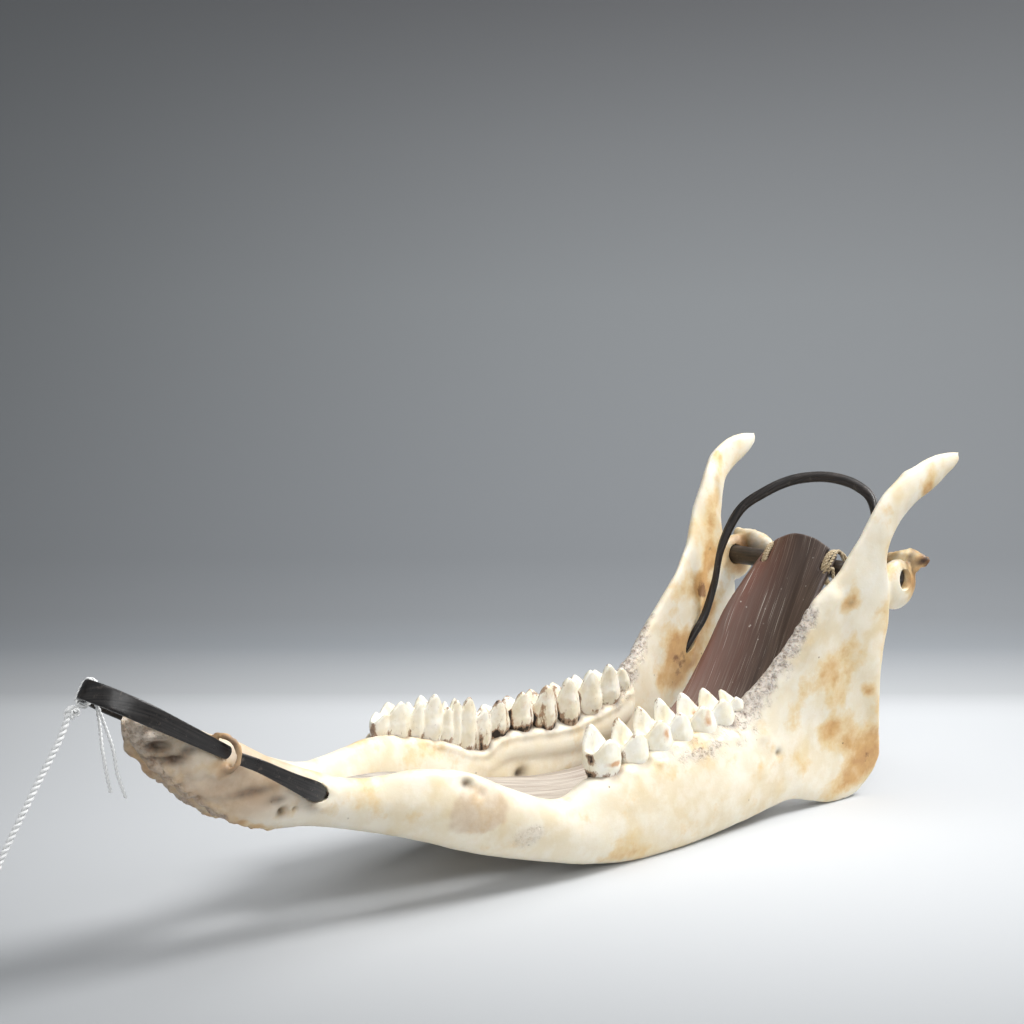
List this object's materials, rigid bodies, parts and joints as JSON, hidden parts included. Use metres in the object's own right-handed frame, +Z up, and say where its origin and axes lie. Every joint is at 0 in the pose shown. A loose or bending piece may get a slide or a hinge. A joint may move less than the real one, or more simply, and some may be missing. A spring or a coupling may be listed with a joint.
{
  "type": "deer lower jawbone with fittings",
  "caption": "Lower jaw of a large deer, both halves with cheek teeth, fitted with dark hoops, a curved scoop between the halves, a crossbar and a thread with a tag.",
  "frame": {"origin": "middle of the object's box, without the thread and its tag, at the floor", "axes": "+X from the chin to the rear, +Y to the animal's right, +Z up"},
  "size_m": [0.4042, 0.0911, 0.1135],
  "materials": {
    "bone": "dry ivory bone with tan patches, chalky and slightly waxy",
    "dark_horn": "near-black horn, satin, fine lengthwise streaks",
    "brown_horn": "dark brown horn, lengthwise streaks, dusty",
    "sinew": "dry twisted sinew",
    "thread": "white twisted cotton",
    "card": "plain buff card, matte"
  },
  "bodies": {
    "root": {"jaw_left": "bone", "jaw_right": "bone", "front_hoop": "dark_horn", "hoop_tail_left": "dark_horn", "hoop_tail_right": "dark_horn", "rear_hoop": "dark_horn", "scoop": "brown_horn", "cross_bar": "dark_horn", "tie_left": "sinew", "tie_right": "sinew", "thread_wrap": "thread", "tag_thread": "thread", "thread_ends": "thread", "tag": "card"}
  },
  "joints": []
}
